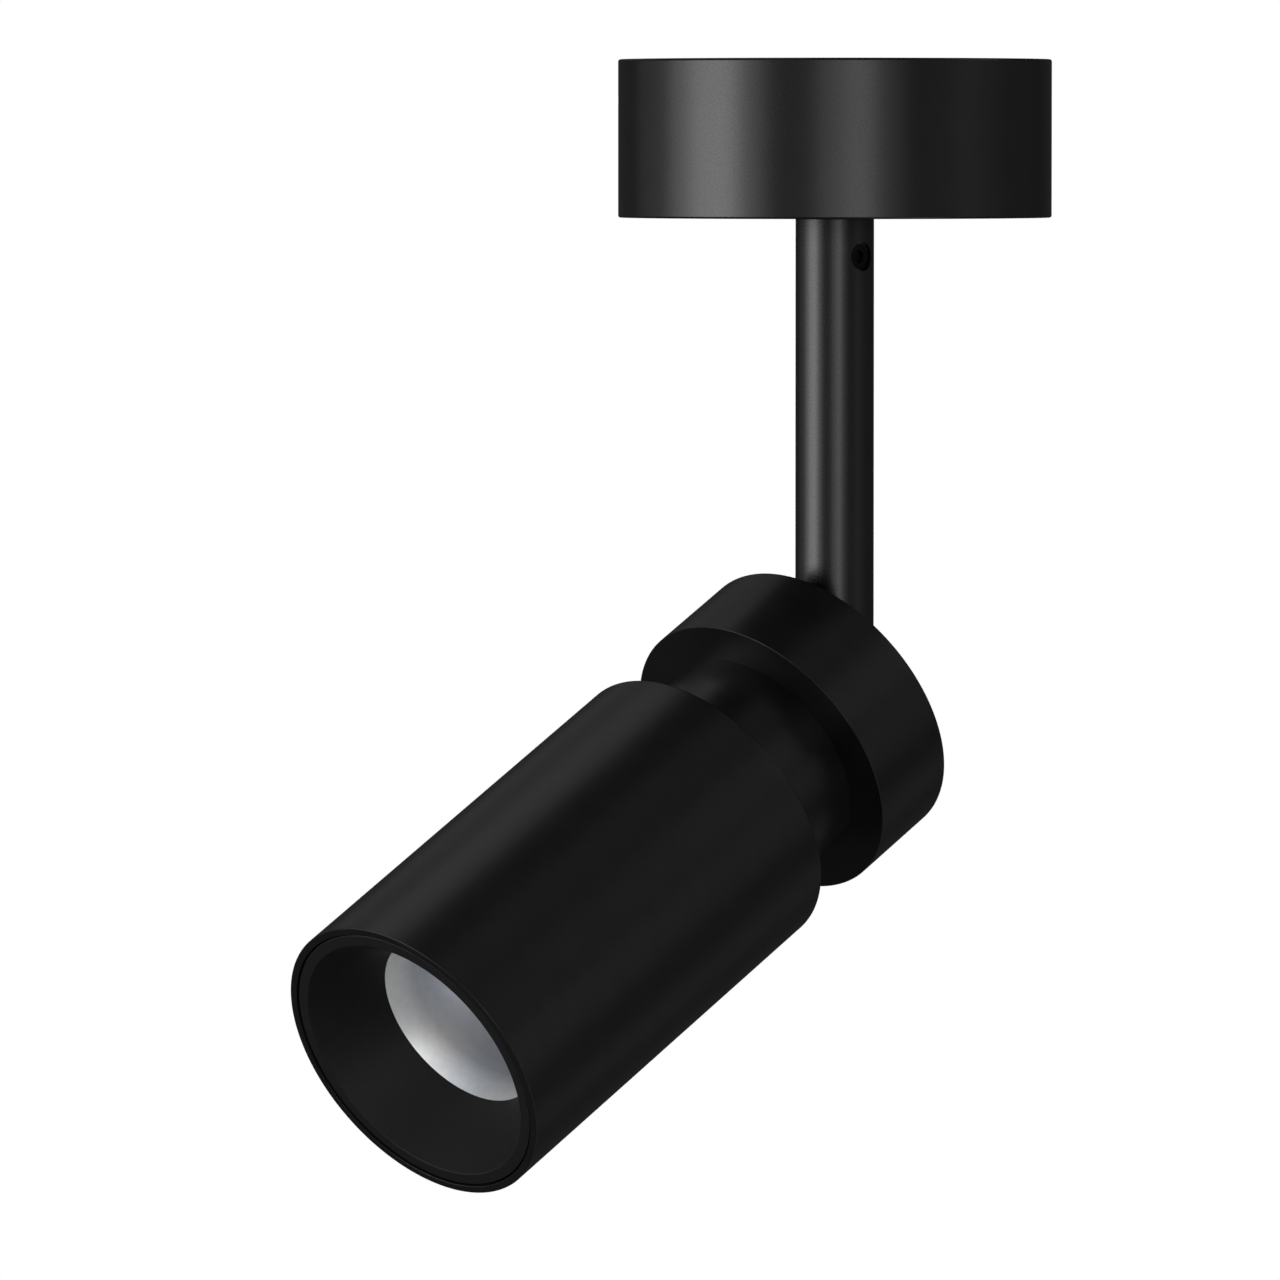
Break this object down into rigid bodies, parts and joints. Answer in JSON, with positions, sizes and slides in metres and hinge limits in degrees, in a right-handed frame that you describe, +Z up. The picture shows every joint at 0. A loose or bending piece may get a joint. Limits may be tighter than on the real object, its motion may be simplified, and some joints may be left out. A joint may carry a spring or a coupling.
{
  "type": "surface-mounted ceiling spotlight",
  "caption": "Black ceiling spotlight: a round canopy, a slim stem that pans, and a cylindrical head with a grooved neck that tilts, with a deep anti-glare cone and a silver reflector.",
  "frame": {"origin": "centre of the face that lies on the ceiling", "axes": "+Z up into the ceiling, along the stem and the pan axis; the head aims towards -Y and down; the tilt axis runs along X"},
  "size_m": [0.085, 0.1714, 0.216],
  "materials": {
    "satin_black": "satin black powder coat on steel",
    "matte_black": "fine matte black powder coat on aluminium",
    "cone_black": "matte black moulding",
    "reflector_silver": "satin anodised with a fine dimpled texture",
    "bare_aluminium": "machined aluminium",
    "zinc_steel": "zinc plated",
    "black_steel": "black oxide",
    "brass": "plain turned brass",
    "grey_plastic": "fine moulded texture",
    "white_plastic": "smooth moulding",
    "nylon": "natural nylon",
    "black_rubber": "matte rubber",
    "cable_sheath": "smooth sheath",
    "brown_wire": "smooth insulation",
    "red_wire": "smooth insulation",
    "thermal_grey": "soft thermal pad",
    "board_white": "white ceramic board",
    "phosphor": "smooth yellow silicone"
  },
  "bodies": {
    "canopy": {"canopy_cover": "satin_black", "cover_screws": "black_steel", "mounting_plate": "zinc_steel", "cable_grommet": "black_rubber", "earth_screw": "brass", "driver_case": "grey_plastic", "driver_lid": "grey_plastic", "driver_screws": "zinc_steel", "terminal_block": "white_plastic", "terminal_screws": "brass", "mains_leads": "brown_wire", "swivel_spigot": "black_steel", "spigot_washer": "zinc_steel", "spigot_nut": "zinc_steel"},
    "stem": {"stem_tube": "satin_black", "stem_collar": "bare_aluminium", "set_screw": "black_steel", "stem_cable": "cable_sheath", "knuckle": "matte_black", "knuckle_screw": "black_steel", "friction_washers": "nylon", "spring_washers": "zinc_steel", "pivot_screws": "black_steel"},
    "head": {"hinge_plate": "matte_black", "wire_grommet": "black_rubber", "assembly_screws": "black_steel", "rear_housing": "matte_black", "neck": "matte_black", "barrel": "matte_black", "heat_sink": "bare_aluminium", "thermal_pad": "thermal_grey", "cob_board": "board_white", "cob_phosphor": "phosphor", "cob_holder": "white_plastic", "cob_holder_screws": "zinc_steel", "head_leads": "red_wire", "reflector": "reflector_silver", "reflector_ring": "matte_black", "baffle": "cone_black"}
  },
  "joints": [
    {"name": "pan", "type": "hinge", "parent": "canopy", "child": "stem", "pos_m": [0, 0, -0.031], "axis": [0, 0, 1], "range_deg": [-165, 165]},
    {"name": "tilt", "type": "hinge", "parent": "stem", "child": "head", "pos_m": [0, 0, -0.1243], "axis": [1, 0, 0], "range_deg": [-20, 140]}
  ]
}
